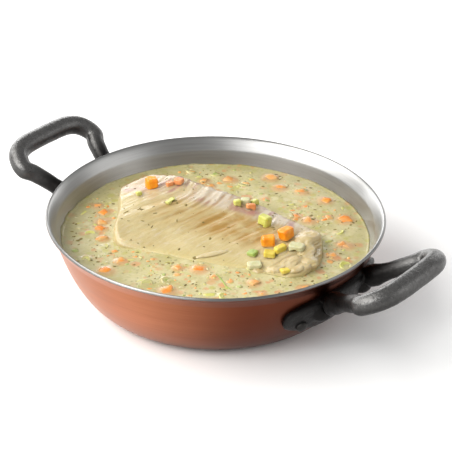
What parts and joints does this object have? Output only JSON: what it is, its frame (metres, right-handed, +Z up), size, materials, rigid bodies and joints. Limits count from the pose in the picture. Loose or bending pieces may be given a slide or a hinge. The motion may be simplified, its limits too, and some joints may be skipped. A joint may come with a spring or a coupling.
{
  "type": "pan of cod fillet in sauce",
  "caption": "Round copper pan, steel lined, with cast iron bow handles, holding a cod fillet in pale cream sauce with diced carrot and leek.",
  "frame": {"origin": "the middle of the pan's flat base, on the surface that the pan stands on", "axes": "+Z up along the pan's axis, +X along the line of the two handles, +Y across it"},
  "size_m": [0.2874, 0.1994, 0.0643],
  "materials": {
    "bonded_copper": "satin",
    "cast_iron": "satin",
    "rivet_iron": "satin",
    "cod": "satin",
    "sauce": "satin",
    "carrot": "satin",
    "leek": "satin",
    "leek_leaf": "satin",
    "onion": "satin"
  },
  "bodies": {
    "root": {"pan_body": "bonded_copper", "handle_right": "cast_iron", "handle_left": "cast_iron", "rivet_right_lower": "rivet_iron", "rivet_right_upper": "rivet_iron", "rivet_left_lower": "rivet_iron", "rivet_left_upper": "rivet_iron", "cod_fillet": "cod", "cream_sauce": "sauce", "carrot_cube_1": "carrot", "carrot_cube_2": "carrot", "carrot_cube_3": "carrot", "carrot_bit_1": "carrot", "carrot_bit_2": "carrot", "carrot_bit_3": "carrot", "leek_cube_1": "leek", "leek_bit_1": "leek", "leek_bit_2": "leek", "leek_bit_3": "leek", "leek_slice_1": "leek", "leek_slice_2": "leek", "leek_slice_3": "leek", "leek_shred_1": "leek", "leek_leaf_1": "leek_leaf", "onion_bit_1": "onion", "onion_slice_1": "onion", "onion_slice_2": "onion"}
  },
  "joints": []
}
